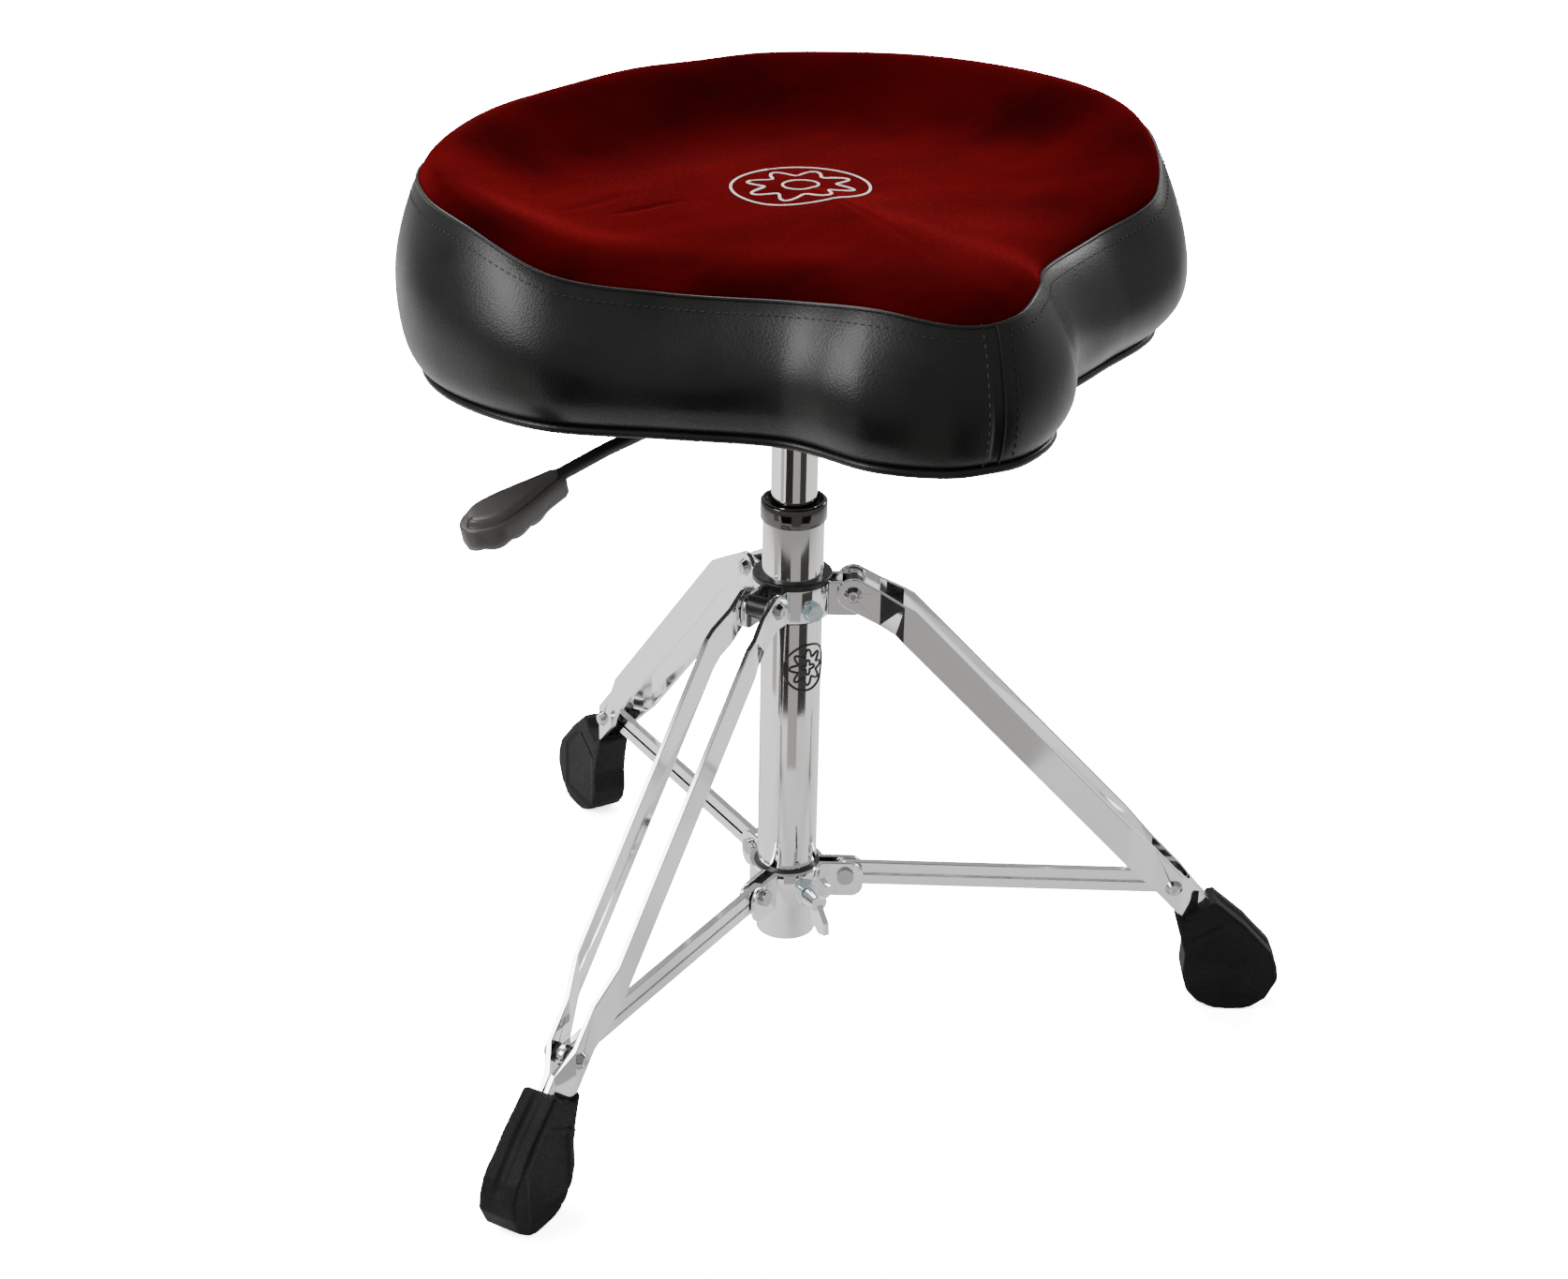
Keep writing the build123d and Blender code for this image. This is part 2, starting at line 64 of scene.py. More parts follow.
# ======== Floor, surround and lamps ========
# A white sheet under soft lamps. The sheet and the surround are seen brighter than they light the throne,
# so they stay white. Dark and grey flags lie in front on the floor, and only polished metal shows them.
SEEN_WHITE = 22.0
SHEET_WHITE = 0.8
SURROUND_LIGHT = 0.40
SHEET_HALF = 9
FLAG_FAR = 3.5
FLAG_STEPS = 12
FLAG_LIFT = 0.002


def camera_switch(tree, seen, lit):
    """A colour that is one value where it is looked at directly and another in every other ray."""
    path = tree.nodes.new("ShaderNodeLightPath")
    switch = tree.nodes.new("ShaderNodeMix")
    switch.data_type = "RGBA"
    switch.clamp_factor = True
    colours = [s for s in switch.inputs if s.type == "RGBA"]
    colours[0].default_value = (lit, lit, lit, 1)
    colours[1].default_value = (seen, seen, seen, 1)
    tree.links.new(path.outputs["Is Camera Ray"], switch.inputs[0])
    return [s for s in switch.outputs if s.type == "RGBA"][0]


def flat_piece(name, points, faces):
    """A mesh object from points in metres."""
    mesh = bpy.data.meshes.new(name)
    mesh.from_pydata(points, [], faces)
    made = bpy.data.objects.new(name, mesh)
    collection.objects.link(made)
    return made


floor_corners = [(x * SHEET_HALF, y * SHEET_HALF, 0) for x, y in ((-1, -1), (1, -1), (1, 1), (-1, 1))]
floor = flat_piece("floor", floor_corners, [(0, 1, 2, 3)])
floor_paint = bpy.data.materials.new("white_sheet")
floor_paint.use_nodes = True
floor_paint.node_tree.nodes.clear()
sheet_out = floor_paint.node_tree.nodes.new("ShaderNodeOutputMaterial")
sheet = floor_paint.node_tree.nodes.new("ShaderNodeBsdfDiffuse")
sheet_colour = camera_switch(floor_paint.node_tree, SEEN_WHITE, SHEET_WHITE)
floor_paint.node_tree.links.new(sheet_colour, sheet.inputs["Color"])
floor_paint.node_tree.links.new(sheet.outputs[0], sheet_out.inputs["Surface"])
floor.data.materials.append(floor_paint)

world = bpy.data.worlds.new("studio")
bpy.context.scene.world = world
world.use_nodes = True
surround = world.node_tree.nodes["Background"]
surround_colour = camera_switch(world.node_tree, SEEN_WHITE, SURROUND_LIGHT)
world.node_tree.links.new(surround_colour, surround.inputs["Color"])


def lamp(name, place, aim, size, power, mirrored=True):
    """One large soft lamp, in watts, that points at a place; a fill lamp isn't mirrored in the metal."""
    data = bpy.data.lights.new(name, "AREA")
    data.shape = "RECTANGLE"
    data.size, data.size_y = size
    data.energy = power
    lit = bpy.data.objects.new(name, data)
    lit.location = place
    lit.rotation_euler = (Vector(aim) - Vector(place)).to_track_quat("-Z", "Y").to_euler()
    lit.visible_glossy = mirrored
    collection.objects.link(lit)


lamp("left_lamp", (-1.95, -0.05, 1.45), (0, 0, 0.4), (0.9, 1.1), 30)
lamp("front_lamp", (-0.5, -2.3, 1.7), (0, -0.1, 0.4), (0.5, 0.7), 20, mirrored=False)
lamp("right_lamp", (2.2, 0.6, 1.6), (0, 0, 0.3), (0.7, 1.2), 22)
lamp("top_lamp", (-0.2, 1.5, 2.4), (0, 0, 0.4), (2.4, 1.6), 72)


def floor_flag(name, start, stop, near, shade):
    """A sector of card on the floor, seen only in polished metal; angles in degrees round the column."""
    turns = [math.radians(start + (stop - start) * k / FLAG_STEPS) for k in range(FLAG_STEPS + 1)]
    points = [(r * math.cos(a), r * math.sin(a), FLAG_LIFT) for r in (near, FLAG_FAR) for a in turns]
    outer = len(turns)
    card = flat_piece(name, points, [(k, k + 1, outer + k + 1, outer + k) for k in range(FLAG_STEPS)])
    paper = bpy.data.materials.new(name)
    paper.use_nodes = True
    paper.node_tree.nodes.clear()
    glow = paper.node_tree.nodes.new("ShaderNodeEmission")
    glow.inputs["Color"].default_value = (shade, shade * 0.96, shade * 0.93, 1)
    card_out = paper.node_tree.nodes.new("ShaderNodeOutputMaterial")
    paper.node_tree.links.new(glow.outputs[0], card_out.inputs["Surface"])
    card.data.materials.append(paper)
    card.visible_camera = False
    card.visible_diffuse = False
    card.visible_shadow = False


floor_flag("flag_dark_left", -163, -127, 0.47, 0.03)
floor_flag("flag_grey_front", -127, -92, 0.30, 0.42)
floor_flag("flag_dark_right", -92, -60, 0.47, 0.05)
floor_flag("flag_grey_far_left", -190, -172, 0.55, 0.55)


# ======== Column ========
# A bright plated steel tube with a dark nickel ring round its mouth, a black plastic bush inside, and
# the gas lift's steel cylinder standing in it. Drawing streaks the tube's gloss along its length.
# A round petalled emblem is printed on its front in black.
def new_material(name, colour, roughness, metallic=0.0):
    """A principled material with its constant values set on the shader."""
    made = bpy.data.materials.new(name)
    made.use_nodes = True
    shader = made.node_tree.nodes["Principled BSDF"]
    shader.inputs["Base Color"].default_value = (*colour, 1)
    shader.inputs["Roughness"].default_value = roughness
    shader.inputs["Metallic"].default_value = metallic
    return made, made.node_tree, shader


def noise_of(tree, scale, detail=3.0, stretch=(1, 1, 1)):
    """A noise texture in object coordinates, in cycles per metre."""
    place = tree.nodes.new("ShaderNodeTexCoord")
    mapping = tree.nodes.new("ShaderNodeMapping")
    mapping.inputs["Scale"].default_value = stretch
    pattern = tree.nodes.new("ShaderNodeTexNoise")
    pattern.inputs["Scale"].default_value = scale
    pattern.inputs["Detail"].default_value = detail
    tree.links.new(place.outputs["Object"], mapping.inputs["Vector"])
    tree.links.new(mapping.outputs[0], pattern.inputs["Vector"])
    return pattern.outputs["Fac"]


def vary(tree, source, socket, low, high, from_low=0.35, from_high=0.65):
    """Sends a pattern to a number socket, between two limits."""
    spread = tree.nodes.new("ShaderNodeMapRange")
    spread.inputs["From Min"].default_value = from_low
    spread.inputs["From Max"].default_value = from_high
    spread.inputs["To Min"].default_value = low
    spread.inputs["To Max"].default_value = high
    tree.links.new(source, spread.inputs["Value"])
    tree.links.new(spread.outputs[0], socket)


def tint(tree, source, socket, dark, light, from_low=0.35, from_high=0.65):
    """Sends a pattern to a colour socket, between two colours."""
    ramp = tree.nodes.new("ShaderNodeValToRGB")
    ramp.color_ramp.elements[0].position = from_low
    ramp.color_ramp.elements[0].color = (*dark, 1)
    ramp.color_ramp.elements[1].position = from_high
    ramp.color_ramp.elements[1].color = (*light, 1)
    tree.links.new(source, ramp.inputs["Fac"])
    tree.links.new(ramp.outputs["Color"], socket)


def bump(tree, shader, height, strength, distance):
    """Raises the surface by a pattern."""
    raised = tree.nodes.new("ShaderNodeBump")
    raised.inputs["Strength"].default_value = strength
    raised.inputs["Distance"].default_value = distance
    tree.links.new(height, raised.inputs["Height"])
    tree.links.new(raised.outputs[0], shader.inputs["Normal"])


def finish_nodes(material, *starts):
    """Gives a finish to every carried-over solid whose name begins with one of the words."""
    for name, node in cad_nodes.items():
        if name.startswith(starts):
            node.data.materials.clear()
            node.data.materials.append(material)


def round_edges(width, *starts):
    """Breaks the sharp edges of carried-over solids, so that they catch the light."""
    for name, node in cad_nodes.items():
        if name.startswith(starts):
            weld = node.modifiers.new("weld", "WELD")
            weld.merge_threshold = 0.00002
            bevel = node.modifiers.new("rounded_edge", "BEVEL")
            bevel.width = width
            bevel.segments = 2
            bevel.limit_method = "ANGLE"
            bevel.angle_limit = math.radians(40)


nickel, tree, shader = new_material("nickel_tube", (0.88, 0.865, 0.85), 0.08, 1.0)
vary(tree, noise_of(tree, 60, 2.0, (1, 1, 0.05)), shader.inputs["Roughness"], 0.05, 0.12)
finish_nodes(nickel, "column_tube", "gas_cylinder")

dark_nickel, tree, shader = new_material("dark_nickel", (0.11, 0.105, 0.10), 0.12, 1.0)
vary(tree, noise_of(tree, 90), shader.inputs["Roughness"], 0.08, 0.16)
finish_nodes(dark_nickel, "tube_collar")
round_edges(0.0004, "tube_collar", "column_tube")

moulded, tree, shader = new_material("moulded_plastic", (0.012, 0.012, 0.012), 0.36)
spark = noise_of(tree, 1800, 2.0)
vary(tree, spark, shader.inputs["Roughness"], 0.30, 0.44)
bump(tree, shader, spark, 0.3, 0.0002)
finish_nodes(moulded, "guide_bush", "upper_liner", "lower_liner", "knee_washers", "upper_spacers")

turned, tree, shader = new_material("turned_steel", (0.55, 0.55, 0.56), 0.3, 1.0)
vary(tree, noise_of(tree, 400, 2.0, (0.1, 0.1, 1)), shader.inputs["Roughness"], 0.22, 0.4)
finish_nodes(turned, "base_plug", "piston", "cylinder", "thrust_ring")

TUBE_RADIUS = 0.01905
EMBLEM_TURN = math.radians(-86)
EMBLEM_HEIGHT = 0.245
EMBLEM_LINE = 0.0008
EMBLEM_RINGS = ((0.0156, 1, 0.0), (0.0122, 8, 0.20), (0.0050, 4, 0.3))


def rosette(radius, petals, depth, count=360):
    """A plain closed line in a plane, drawn in between its petals; a depth of 0 makes it a circle."""
    turns = np.linspace(0, 2 * math.pi, count, endpoint=False)
    reach = radius * (1 - depth + depth * np.cos(petals * turns))
    return np.stack([reach * np.cos(turns), reach * np.sin(turns)], 1)


def wire(name, points, radius, material, closed=True, sides=3):
    """A round wire mesh through points in metres."""
    curve = bpy.data.curves.new(name, "CURVE")
    curve.dimensions = "3D"
    curve.bevel_depth = radius
    curve.bevel_resolution = sides
    curve.use_fill_caps = not closed
    spline = curve.splines.new("POLY")
    spline.points.add(len(points) - 1)
    for point, p in zip(spline.points, points):
        point.co = (*p, 1)
    spline.use_cyclic_u = closed
    drawn = bpy.data.objects.new(name + "_line", curve)
    collection.objects.link(drawn)
    mesh = bpy.data.meshes.new_from_object(drawn.evaluated_get(bpy.context.evaluated_depsgraph_get()))
    bpy.data.objects.remove(drawn)
    mesh.materials.clear()
    mesh.materials.append(material)
    mesh.shade_smooth()
    made = bpy.data.objects.new(name, mesh)
    collection.objects.link(made)
    return made


def wrapped(line):
    """Bends a plane line round the tube at the emblem's place."""
    turns = EMBLEM_TURN + line[:, 0] / TUBE_RADIUS
    heights = EMBLEM_HEIGHT + line[:, 1]
    return np.stack([TUBE_RADIUS * np.cos(turns), TUBE_RADIUS * np.sin(turns), heights], 1)


# Black print for the emblem. The rivets' holes are painted in the same black as their shade.
black_print_and_hole_shade, tree, shader = new_material("black_print_and_hole_shade_paint", (0.01, 0.01, 0.01), 0.4)
vary(tree, noise_of(tree, 700), shader.inputs["Roughness"], 0.34, 0.5)
for part, (radius, petals, depth) in enumerate(EMBLEM_RINGS):
    line = wire(f"emblem_line_{part}", wrapped(rosette(radius, petals, depth)), EMBLEM_LINE, black_print_and_hole_shade)
    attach(line, "column")
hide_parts("column_emblem")


# ======== Hubs, legs and stays ========
# Pressed and bent steel strip, polished and chromed; each hub is three pressed segments. The hex screws
# are bluish zinc, and the rivets are plain steel, domed, with an open shank whose dark inside is painted
# shade.
chrome, tree, shader = new_material("chrome", (0.92, 0.92, 0.93), 0.07, 1.0)
vary(tree, noise_of(tree, 14), shader.inputs["Roughness"], 0.05, 0.12)
bump(tree, shader, noise_of(tree, 35, 1.0), 0.05, 0.0006)
finish_nodes(chrome, "leg_", "stay_", "upper_hub_", "lower_hub_", "wing_screw")
round_edges(0.0005, "leg_", "stay_", "upper_hub_", "lower_hub_", "wing_")

rivet_steel, tree, shader = new_material("rivet_steel", (0.46, 0.45, 0.45), 0.16, 1.0)
vary(tree, noise_of(tree, 250), shader.inputs["Roughness"], 0.10, 0.22)
finish_nodes(rivet_steel, "knee_rivet", "top_rivets", "lower_hub_pins")

zinc, tree, shader = new_material("blue_zinc", (0.72, 0.85, 0.88), 0.22, 1.0)
vary(tree, noise_of(tree, 300), shader.inputs["Roughness"], 0.16, 0.32)
finish_nodes(zinc, "upper_hub_screws", "wing_boss", "plate_bolts", "lever_pin", "release_pin")

LEG_TURNS = {"right": -30.0, "rear": 90.0, "left": 210.0}
RIVET_HEADS = (("knee_rivet", 0.250, 0.0895, 0.0135), ("top_rivets", 0.0375, 0.2935, 0.0160))
MOUTH_RINGS = ((0.0, -0.0016), (0.0017, -0.0014), (0.0021, 0.0), (0.0027, 0.0004), (0.0034, -0.0004))
HOLE_SHADE_RINGS = 2
MOUTH_STEPS = 20


def in_leg(place, reach, height, sideways):
    """A point given in a leg's own upright plane, in metres from the column's axis."""
    a = math.radians(LEG_TURNS[place])
    x = reach * math.cos(a) + sideways * math.sin(a)
    y = reach * math.sin(a) - sideways * math.cos(a)
    return Vector((x, y, height))


def rivet_mouth(name, place, body, reach, height, sideways):
    """The open end of a rivet on the head's crown: a rolled lip round a hole in painted shade."""
    side = math.copysign(1.0, sideways)
    middle = in_leg(place, reach, height, sideways)
    a = math.radians(LEG_TURNS[place])
    across = Vector((math.cos(a), math.sin(a), 0))
    out = Vector((math.sin(a), -math.cos(a), 0)) * side
    points = []
    for radius, lift in MOUTH_RINGS:
        for k in range(MOUTH_STEPS):
            t = 2 * math.pi * k / MOUTH_STEPS
            on_ring = middle + across * radius * math.cos(t) + Vector((0, 0, radius * math.sin(t)))
            points.append(on_ring + out * lift)
    faces = []
    for first in range(0, MOUTH_STEPS * (len(MOUTH_RINGS) - 1), MOUTH_STEPS):
        for k in range(MOUTH_STEPS):
            n = (k + 1) % MOUTH_STEPS
            faces.append((first + k, first + n, first + MOUTH_STEPS + n, first + MOUTH_STEPS + k))
    mouth = flat_piece(name, points, faces)
    mouth.data.materials.append(black_print_and_hole_shade)
    mouth.data.materials.append(chrome)
    # The two inner rings are sunk only a little and painted black as the shade deep in the rivet's hole.
    for face in mouth.data.polygons:
        face.material_index = 0 if face.index < HOLE_SHADE_RINGS * MOUTH_STEPS else 1
    tidy = bmesh.new()
    tidy.from_mesh(mouth.data)
    bmesh.ops.remove_doubles(tidy, verts=tidy.verts, dist=0.00001)
    bmesh.ops.recalc_face_normals(tidy, faces=tidy.faces)
    facing_out = sum(f.normal.dot(out) for f in tidy.faces)
    if facing_out < 0:
        bmesh.ops.reverse_faces(tidy, faces=tidy.faces)
    tidy.to_mesh(mouth.data)
    tidy.free()
    mouth.data.shade_smooth()
    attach(mouth, body)


for place in LEG_TURNS:
    for kind, reach, height, head in RIVET_HEADS:
        for side in (-1, 1):
            name = f"{kind}_mouth_{place}_{'near' if side > 0 else 'far'}"
            rivet_mouth(name, place, f"leg_{place}", reach, height, side * head)


# ======== Feet ========
# Moulded black rubber, crowned underneath, with a pocket that holds the ends of both strips. Each has a
# crease below the pocket, a sunk panel in its sides and a channel down its outer face.
rubber, tree, shader = new_material("rubber", (0.004, 0.004, 0.004), 0.7)
shader.inputs["Specular IOR Level"].default_value = 0.2
DARK_RUBBER = (0.0018, 0.0018, 0.0018)
DUSTY_RUBBER = (0.006, 0.0057, 0.0054)
tint(tree, noise_of(tree, 40, 5.0), shader.inputs["Base Color"], DARK_RUBBER, DUSTY_RUBBER)
grain = noise_of(tree, 1500)
vary(tree, grain, shader.inputs["Roughness"], 0.5, 0.75)
bump(tree, shader, grain, 0.35, 0.0003)
finish_nodes(rubber, "rubber_buffer", "foot_")

FOOT_SIDE = [(260, 24), (260.6, 40), (252.2, 68.5), (255.0, 71.2), (258.5, 66.5), (270.5, 72.5),
             (274.0, 78.4), (278.0, 79.6), (299, 62), (317.5, 42), (322, 31), (322.6, 22), (316, 8.5),
             (308, 2.6), (300, 0.2), (290, 0.0), (282, 0.6), (271, 5.0), (263.5, 13)]
FOOT_HALF = 13.3
FOOT_TOP_HALF = 11.3
FOOT_TALL = 80
CREASE_DEPTH = 1.3
PANEL_DEPTH = 0.9
CHANNEL_DEPTH = 1.5


def foot_mesh(place):
    """The foot as one closed skin: its side shape, thickened, rounded, then creased and channelled."""
    shape = bmesh.new()
    walls = []
    for side in (-1, 1):
        ring = []
        for reach, height in FOOT_SIDE:
            half = FOOT_HALF + (FOOT_TOP_HALF - FOOT_HALF) * height / FOOT_TALL
            ring.append(shape.verts.new((reach / 1000, side * half / 1000, height / 1000)))
        walls.append(ring)
    count = len(FOOT_SIDE)
    shape.faces.new(walls[0])
    shape.faces.new(reversed(walls[1]))
    for k in range(count):
        n = (k + 1) % count
        shape.faces.new((walls[0][k], walls[1][k], walls[1][n], walls[0][n]))
    bmesh.ops.triangulate(shape, faces=shape.faces)
    bmesh.ops.recalc_face_normals(shape, faces=shape.faces)
    mesh = bpy.data.meshes.new("foot_block")
    shape.to_mesh(mesh)
    shape.free()
    block = bpy.data.objects.new("foot_block", mesh)
    collection.objects.link(block)
    skin = block.modifiers.new("skin", "REMESH")
    skin.mode = "VOXEL"
    skin.voxel_size = 0.0011
    soften = block.modifiers.new("soften", "SMOOTH")
    soften.iterations = 7
    soften.factor = 0.5
    made = bpy.data.meshes.new_from_object(block.evaluated_get(bpy.context.evaluated_depsgraph_get()))
    bpy.data.objects.remove(block)
    points = np.array([v.co[:] for v in made.vertices]) * 1000
    reach, across, height = points.T
    side_face = np.clip((np.abs(across) - 8.5) / 2.0, 0, 1)
    crease_at = (reach - 262.7) * 0.497 - (height - 51.0) * 0.868
    in_crease = np.exp(-(crease_at / 0.9) ** 2) * (reach > 264) * (reach < 284)
    panel_edges = [crease_at - 2.0, 308 - reach, height - 9, reach - 266, 352 - reach - height]
    panel = np.clip(np.minimum.reduce(panel_edges) / 2.0, 0, 1)
    inward = side_face * (CREASE_DEPTH * in_crease + PANEL_DEPTH * panel)
    points[:, 1] -= np.sign(across) * inward
    outer = np.clip((reach + height * 0.95 - 352) / 3, 0, 1) * (height > 16)
    channel = np.exp(-((across / 3.2) ** 4)) * outer
    points[:, 0] -= CHANNEL_DEPTH * channel * 0.72
    points[:, 2] -= CHANNEL_DEPTH * channel * 0.55
    points[:, 2] = np.maximum(points[:, 2], 0.0)
    points /= 1000
    placed = [in_leg(place, p[0], p[2], p[1]) for p in points]
    made.vertices.foreach_set("co", np.array([p[:] for p in placed]).ravel())
    made.update()
    made.materials.clear()
    made.materials.append(rubber)
    made.shade_smooth()
    return made


for place in LEG_TURNS:
    foot = bpy.data.objects.new(f"rubber_foot_{place}", foot_mesh(place))
    collection.objects.link(foot)
    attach(foot, f"leg_{place}")
    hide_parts(f"foot_{place}")


# ======== Seat plate, socket and release lever ========
# Pressed steel in black powder coat, bolted to the board. The lever is a thin coated rod with a moulded
# paddle: a raised drop-shaped pad on a stepped body, with scallops for the fingertips underneath.
coated, tree, shader = new_material("black_powder_coat", (0.010, 0.010, 0.010), 0.4)
bump(tree, shader, noise_of(tree, 900), 0.25, 0.0003)
finish_nodes(coated, "lever_rod", "seat_socket", "seat_plate", "lever_bracket")
round_edges(0.0006, "seat_plate", "lever_bracket")

paddle_plastic, tree, shader = new_material("paddle_plastic", (0.050, 0.046, 0.042), 0.32)
spark = noise_of(tree, 1600, 2.0)
vary(tree, spark, shader.inputs["Roughness"], 0.30, 0.40)
bump(tree, shader, spark, 0.15, 0.0002)

PADDLE_LENGTH = 72.0
PADDLE_REACH = 0.181
PADDLE_HEIGHT = 0.4155
PADDLE_TURN = math.radians(-165.5)
PADDLE_SLOPE = math.atan2(15.0, 70.0)
PADDLE_STEPS = 96
SCALLOPED_LAYERS = ((8.0, -10.6), (3.5, -10.6), (1.0, -9.8))
BODY_LAYERS = ((0.0, -7.4), (0.0, 1.6), (0.5, 2.6), (1.8, 2.9), (2.5, 2.5))
PAD_LAYERS = ((2.9, 3.2), (3.1, 5.8), (3.9, 6.8), (5.5, 7.1), (8.0, 7.2))


def paddle_ring(inset, level, scalloped=False):
    """A closed ring of the paddle's drop-shaped plan, drawn in by the inset, at a level in its thickness."""
    ring = []
    for k in range(PADDLE_STEPS):
        t = 2 * math.pi * k / PADDLE_STEPS
        along = 0.5 - 0.5 * math.cos(t)
        half = 6.2 + 8.6 * math.sin(min(along / 0.78, 1.0) * math.pi / 2) ** 1.5
        half *= min(1.0, math.sqrt(max(0.0, 1 - max(0.0, (along - 0.74) / 0.26) ** 2)))
        half *= min(1.0, math.sqrt(max(0.0, 1 - max(0.0, (0.06 - along) / 0.06) ** 2)))
        u = inset + along * (PADDLE_LENGTH - 2 * inset)
        v = math.copysign(max(half - inset, 0.05), math.sin(t) or 1.0)
        if k in (0, PADDLE_STEPS // 2):
            v = 0.0
        drop = 0.0
        if scalloped and u > 22:
            drop = 1.8 * abs(math.sin((u - 22) / 15.0 * math.pi)) ** 0.8
        ring.append((u, v, level - drop))
    return ring


layers = [paddle_ring(inset, level, scalloped=True) for inset, level in SCALLOPED_LAYERS]
layers += [paddle_ring(inset, level) for inset, level in BODY_LAYERS + PAD_LAYERS]
paddle_points, paddle_faces = [], []
for ring in layers:
    for u, v, w in ring:
        out = PADDLE_REACH + (u * math.cos(PADDLE_SLOPE) + w * math.sin(PADDLE_SLOPE)) / 1000
        up = PADDLE_HEIGHT + (w * math.cos(PADDLE_SLOPE) - u * math.sin(PADDLE_SLOPE)) / 1000
        c, s = math.cos(PADDLE_TURN), math.sin(PADDLE_TURN)
        paddle_points.append((out * c - v / 1000 * s, out * s + v / 1000 * c, up))
last_layer = PADDLE_STEPS * (len(layers) - 1)
for first in range(0, last_layer, PADDLE_STEPS):
    for k in range(PADDLE_STEPS):
        n = (k + 1) % PADDLE_STEPS
        paddle_faces.append((first + k, first + n, first + PADDLE_STEPS + n, first + PADDLE_STEPS + k))
paddle_faces.append(tuple(reversed(range(PADDLE_STEPS))))
paddle_faces.append(tuple(range(last_layer, last_layer + PADDLE_STEPS)))
paddle = flat_piece("lever_paddle", paddle_points, paddle_faces)
tidy = bmesh.new()
tidy.from_mesh(paddle.data)
bmesh.ops.remove_doubles(tidy, verts=tidy.verts, dist=0.00002)
bmesh.ops.recalc_face_normals(tidy, faces=tidy.faces)
tidy.to_mesh(paddle.data)
tidy.free()
paddle.data.materials.append(paddle_plastic)
paddle.data.shade_smooth()
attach(paddle, "lever")
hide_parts("lever_grip")


# ======== Board and dust cover ========
# A plywood board carries the cushion. A black woven cloth covers it underneath, flat, with its edge
# over the vinyl that is tucked under the board.
plywood, tree, shader = new_material("plywood", (0.60, 0.44, 0.27), 0.6)
wood_grain = noise_of(tree, 18, 6.0, (1, 8, 1))
tint(tree, wood_grain, shader.inputs["Base Color"], (0.45, 0.30, 0.16), (0.66, 0.50, 0.31))
finish_nodes(plywood, "seat_board")

cloth, tree, shader = new_material("cover_cloth", (0.012, 0.012, 0.012), 0.9)
cloth_place = tree.nodes.new("ShaderNodeTexCoord")
weave = tree.nodes.new("ShaderNodeTexBrick")
weave.inputs["Scale"].default_value = 300.0
tree.links.new(cloth_place.outputs["Object"], weave.inputs["Vector"])
threads = weave.outputs["Fac"]
tint(tree, threads, shader.inputs["Base Color"], (0.020, 0.020, 0.021), (0.006, 0.006, 0.006), 0, 1)
bump(tree, shader, threads, 0.5, 0.0003)
finish_nodes(cloth, "dust_cover")


# ======== Cushion: form ========
# Foam under a velour top and a vinyl band. The form is lofted through closed rings: the tuck under the
# board, the welt, two rings of the bulging side, the seam, the rim's crest, the dish and its floor.
# Each ring is given from the nose to the back on one side and mirrored; the whole sits a little turned.
MIDDLE = np.array([0.0, -8.0, 549.0])
WELT = [(0, -226), (25, -222), (55, -199), (82, -152), (134, -116), (192, -78), (221, -25),
        (223, 30), (197, 96), (139, 147), (55, 178), (0, 183)]
SEAM = [(0, -219, 533), (24, -213, 535), (50, -187, 538), (78, -146, 533), (132, -103, 531), (187, -73, 539),
        (216, -22, 557), (221, 30, 562), (199, 96, 561), (140, 147, 560), (55, 176, 560), (0, 181, 560)]
CREST = [(0, -198, 549), (17, -193, 549), (37, -174, 549), (61, -131, 545), (119, -85, 541), (168, -57, 550),
         (198, -18, 564), (204, 28, 573), (182, 84, 577), (130, 131, 581), (52, 159, 583), (0, 164, 583)]
DISH = [(0, -150, 553), (9, -146, 553), (20, -130, 552), (38, -98, 548), (84, -62, 544), (122, -40, 545),
        (148, -14, 549), (154, 20, 551), (136, 62, 551), (96, 96, 551), (38, 116, 551), (0, 120, 551)]
HOLLOW = [(0, -80, 553), (5, -78, 553), (10, -70, 552), (20, -56, 550), (42, -38, 547), (60, -26, 546),
          (74, -10, 546), (77, 6, 546), (68, 28, 546), (48, 46, 546), (19, 57, 546), (0, 59, 546)]
BASE_HEIGHT = 457.0
LOW_BELLY = 12.0
HIGH_BELLY = 14.0
NOSE_SLIMMER = 6.0
CUSHION_TURN = math.radians(-4.0)
CUSHION_SHIFT = np.array([3.0, 0.0, 0.0])
VINYL_TUCK = 19.0
TUCK_DROP = 2.2
RIGHT_FULLER = 6.5
BACK_LEFT_LOWER = 5.0
AROUND = 480
SIDE_ROWS = 40
TOP_ROWS = 60


def smooth_between(a, b, c, d, t):
    """A smooth step from b to c that keeps the neighbours' direction."""
    square = 2 * a - 5 * b + 4 * c - d
    cube = 3 * b - 3 * c + d - a
    return 0.5 * (2 * b + (c - a) * t + square * t**2 + cube * t**3)


def closed_ring(half):
    """A closed ring through mirrored points, evenly spaced in order, nose first."""
    right = np.array(half, float)
    left = right[-2:0:-1] * np.array([-1, 1, 1])
    control = np.vstack([right, left])
    at = np.arange(AROUND) / AROUND * len(control)
    low = np.floor(at).astype(int)
    a, b, c, d = (control[(low + k) % len(control)] for k in (-1, 0, 1, 2))
    return smooth_between(a, b, c, d, (at - low)[:, None])


def loft(through, rows, start, stop):
    """Rows of points through the rings, from one ring number to another."""
    made = []
    for at in np.linspace(start, stop, rows):
        low = min(int(at), len(through) - 2)
        a, b, c, d = (through[min(max(low + k, 0), len(through) - 1)] for k in (-1, 0, 1, 2))
        made.append(smooth_between(a, b, c, d, at - low))
    return np.array(made)


